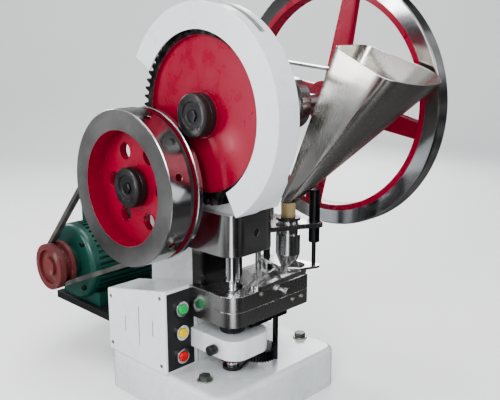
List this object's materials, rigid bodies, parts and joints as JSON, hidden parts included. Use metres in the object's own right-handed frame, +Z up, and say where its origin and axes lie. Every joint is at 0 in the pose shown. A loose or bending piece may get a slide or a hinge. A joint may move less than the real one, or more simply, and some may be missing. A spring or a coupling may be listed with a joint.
{
  "type": "single punch tablet press",
  "caption": "Bench single-punch tablet press with crank-driven ram, swinging feed shoe, powder hopper, handwheel, belt-driven gear and control box.",
  "frame": {"origin": "centre of the base's underside", "axes": "+Z up, -Y towards the operator, +X the operator's right"},
  "size_m": [0.396, 0.7109, 0.6976],
  "materials": {
    "white_enamel": "gloss enamel",
    "white_sheet": "powder coated",
    "red_paint": "gloss enamel",
    "red_rim": "gloss enamel with a polished rim",
    "polished_steel": "polished",
    "ground_steel": "ground",
    "tool_steel": "polished",
    "plated_steel": "zinc plated",
    "blackened_steel": "blackened and oiled",
    "black_paint": "satin",
    "bronze": "machined",
    "rust_red": "primed",
    "stainless": "satin",
    "green_paint": "gloss enamel",
    "belt_rubber": "matt",
    "clear_tube": "translucent",
    "black_plastic": "satin",
    "green_plastic": "gloss",
    "yellow_plastic": "gloss",
    "red_plastic": "gloss"
  },
  "bodies": {
    "frame": {"base_casting": "white_enamel", "column_casting": "white_enamel", "front_cover": "white_enamel", "lower_arm": "white_enamel", "hold_down_bolts": "plated_steel", "cap_screws": "plated_steel", "head_block": "polished_steel", "upper_table": "ground_steel", "lower_table": "ground_steel", "die": "tool_steel", "die_lock_screw": "tool_steel", "guide_post": "blackened_steel", "wheel_spindle": "plated_steel", "bearing_bushes": "bronze", "v_belt": "belt_rubber", "motor_housing": "green_paint", "fan_cover": "green_paint", "motor_bracket": "black_paint", "gear_guard": "white_sheet", "control_box": "white_sheet", "box_panel": "black_plastic", "button_bezels": "tool_steel", "feeder_bracket": "black_paint", "feeder_boot": "polished_steel", "neck_tube": "clear_tube", "hopper": "stainless", "hold_down_plunger": "blackened_steel", "hopper_stay": "ground_steel"},
    "main_shaft_group": {"main_shaft": "ground_steel", "big_gear": "red_paint", "gear_nut": "black_paint", "eccentric": "ground_steel", "cam_drum": "ground_steel", "handwheel": "red_rim", "handwheel_nut": "blackened_steel"},
    "pinion_group": {"pinion_shaft": "ground_steel", "pinion": "blackened_steel", "pulley": "red_rim", "pulley_cap": "black_paint"},
    "motor_rotor": {"motor_shaft": "ground_steel", "motor_pulley": "rust_red"},
    "conrod_group": {"eccentric_strap": "bronze", "connecting_rod": "ground_steel"},
    "ram_group": {"ram": "polished_steel", "punch_holder": "tool_steel", "upper_punch": "tool_steel"},
    "lower_punch_group": {"lower_punch": "tool_steel", "lower_punch_rod": "tool_steel", "lift_forks": "blackened_steel", "lift_rod": "ground_steel"},
    "feed_shoe_group": {"feeder_shoe": "tool_steel", "feeder_plate": "ground_steel", "feeder_lever_shaft": "blackened_steel"},
    "fill_adjuster": {"fill_ring": "blackened_steel"},
    "ejection_adjuster": {"ejection_gear": "rust_red"},
    "setting_wheel": {"ejection_wheel": "blackened_steel"},
    "knob": {"lock_knob": "black_plastic"},
    "start_push": {"start_button": "green_plastic"},
    "jog_push": {"jog_button": "yellow_plastic"},
    "stop_push": {"stop_button": "red_plastic"}
  },
  "joints": [
    {"name": "main_spin", "type": "hinge", "parent": "frame", "child": "main_shaft_group", "pos_m": [0, -0.072, 0.48358], "axis": [1, 0, 0], "continuous": true},
    {"name": "pinion_spin", "type": "hinge", "parent": "frame", "child": "pinion_group", "pos_m": [0, 0.032, 0.37], "axis": [1, 0, 0], "continuous": true},
    {"name": "motor_spin", "type": "hinge", "parent": "frame", "child": "motor_rotor", "pos_m": [0, 0.305, 0.178], "axis": [1, 0, 0], "continuous": true},
    {"name": "conrod_swing", "type": "hinge", "parent": "main_shaft_group", "child": "conrod_group", "pos_m": [-0.047, -0.072, 0.47158], "axis": [1, 0, 0], "continuous": true},
    {"name": "ram_slide", "type": "slide", "parent": "frame", "child": "ram_group", "axis": [0, 0, 1], "range_m": [0, 0.024]},
    {"name": "lower_punch_lift", "type": "slide", "parent": "frame", "child": "lower_punch_group", "axis": [0, 0, 1], "range_m": [0, 0.009]},
    {"name": "feed_shoe_swing", "type": "hinge", "parent": "frame", "child": "feed_shoe_group", "pos_m": [0.078, -0.03, 0.25], "axis": [0, 0, -1], "range_deg": [0, 18]},
    {"name": "fill_ring_turn", "type": "hinge", "parent": "frame", "child": "fill_adjuster", "pos_m": [-0.047, -0.072, 0.147], "axis": [0, 0, 1], "range_deg": [-180, 180]},
    {"name": "ejection_gear_turn", "type": "hinge", "parent": "frame", "child": "ejection_adjuster", "pos_m": [-0.047, -0.072, 0.094], "axis": [0, 0, 1], "range_deg": [-180, 180]},
    {"name": "setting_wheel_turn", "type": "hinge", "parent": "frame", "child": "setting_wheel", "pos_m": [-0.00895, -0.09603, 0.094], "axis": [0, 0, 1], "range_deg": [-120, 120]},
    {"name": "lock_knob_turn", "type": "hinge", "parent": "frame", "child": "knob", "pos_m": [-0.1, -0.078, 0.119], "axis": [1, 0, 0], "range_deg": [-360, 360]},
    {"name": "start_press", "type": "slide", "parent": "frame", "child": "start_push", "axis": [0, 1, 0], "range_m": [0, 0.004], "stiffness_N_per_m": 500, "springref_m": -0.002},
    {"name": "jog_press", "type": "slide", "parent": "frame", "child": "jog_push", "axis": [0, 1, 0], "range_m": [0, 0.004], "stiffness_N_per_m": 500, "springref_m": -0.002},
    {"name": "stop_press", "type": "slide", "parent": "frame", "child": "stop_push", "axis": [0, 1, 0], "range_m": [0, 0.004], "stiffness_N_per_m": 500, "springref_m": -0.002}
  ],
  "couplings": [
    {"joint": "pinion_spin", "follows": "main_spin", "ratio": -4.9231},
    {"joint": "motor_spin", "follows": "main_spin", "ratio": -13.874},
    {"joint": "conrod_swing", "follows": "main_spin", "ratio": -1},
    {"joint": "lower_punch_lift", "follows": "ram_slide", "ratio": 0.375},
    {"joint": "feed_shoe_swing", "follows": "ram_slide", "rad_per_m": 13.089},
    {"joint": "ejection_gear_turn", "follows": "setting_wheel_turn", "ratio": -1.4}
  ]
}
